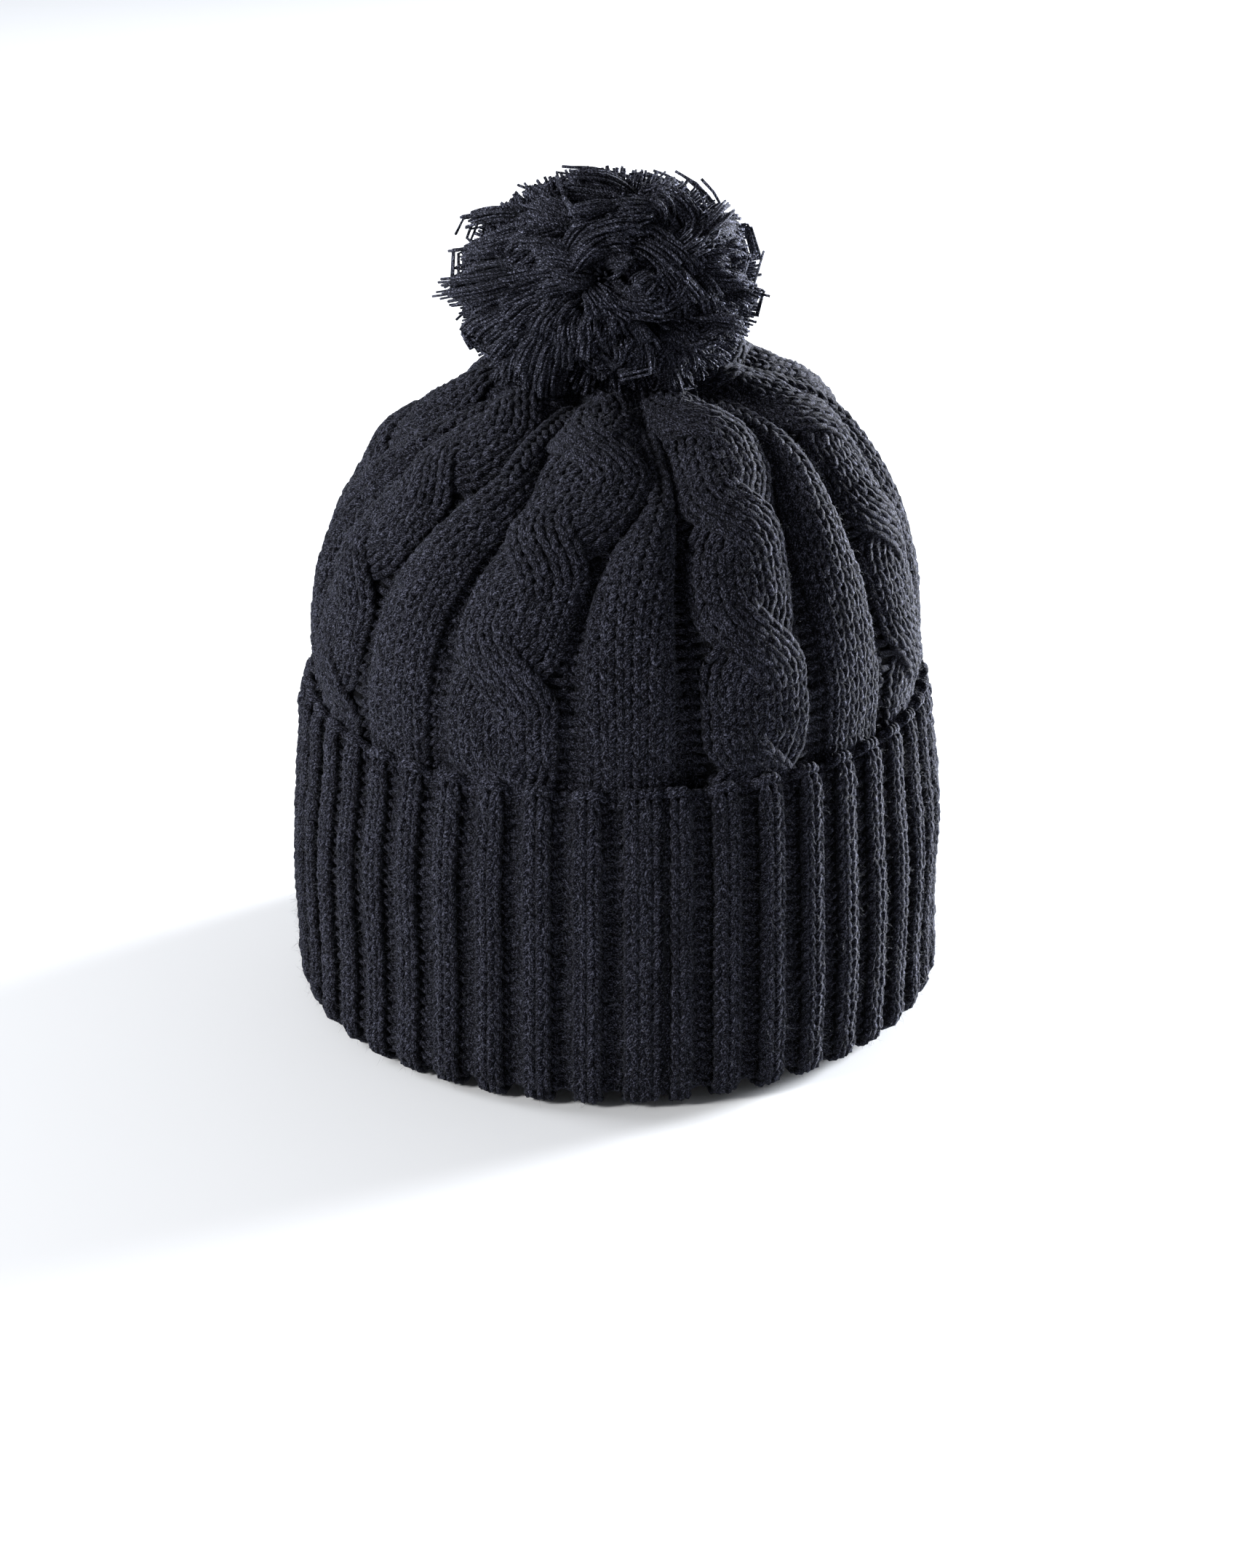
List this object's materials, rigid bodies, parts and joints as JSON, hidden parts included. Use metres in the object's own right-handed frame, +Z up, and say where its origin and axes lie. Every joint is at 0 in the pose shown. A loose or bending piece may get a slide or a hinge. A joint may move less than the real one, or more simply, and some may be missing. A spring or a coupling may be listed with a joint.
{
  "type": "knit beanie",
  "caption": "Chunky knitted beanie with a turned-up rib cuff, a cabled crown gathered at the top and a yarn pom-pom on a tie.",
  "frame": {"origin": "centre of the rim that the hat stands on", "axes": "+Z up through the crown, -Y towards the hat's front, +Y towards its back seam"},
  "size_m": [0.1966, 0.2266, 0.2549],
  "materials": {
    "crown_wool": "brushed chunky wool knit, near black",
    "rib_wool": "brushed chunky wool rib knit, near black",
    "seam_yarn": "two-ply wool yarn, near black",
    "tie_yarn": "twisted two-ply wool yarn, near black",
    "pile_yarn": "cut two-ply yarn pile, near black with a soft sheen",
    "label_satin": "blank woven satin",
    "label_thread": "polyester sewing thread"
  },
  "bodies": {
    "beanie": {"crown_fabric": "crown_wool", "crown_gathered_top": "crown_wool", "cuff_inner_band": "rib_wool", "back_seam_yarn": "seam_yarn", "crown_gather_yarn": "seam_yarn", "gather_knot": "seam_yarn", "tie_knot": "tie_yarn", "care_label": "label_satin", "care_label_stitches": "label_thread"},
    "turned_cuff": {"cuff_outer_band": "rib_wool", "cuff_fold": "rib_wool", "cuff_cast_on_edge": "rib_wool", "cuff_seam_yarn": "seam_yarn"},
    "tie": {"pompom_tie": "tie_yarn"},
    "pompom": {"pompom_pile": "pile_yarn", "pompom_binding": "tie_yarn"}
  },
  "joints": [
    {"name": "cuff_turn", "type": "slide", "parent": "beanie", "child": "turned_cuff", "axis": [0, 0, -1], "range_m": [0, 0.08]},
    {"name": "pompom_nod", "type": "hinge", "parent": "beanie", "child": "tie", "pos_m": [0, 0, 0.19], "axis": [1, 0, 0], "range_deg": [-13, 13], "stiffness_Nm_per_rad": 0.08},
    {"name": "pompom_sway", "type": "hinge", "parent": "tie", "child": "pompom", "pos_m": [0, 0, 0.19], "axis": [0, 1, 0], "range_deg": [-13, 13], "stiffness_Nm_per_rad": 0.08}
  ]
}
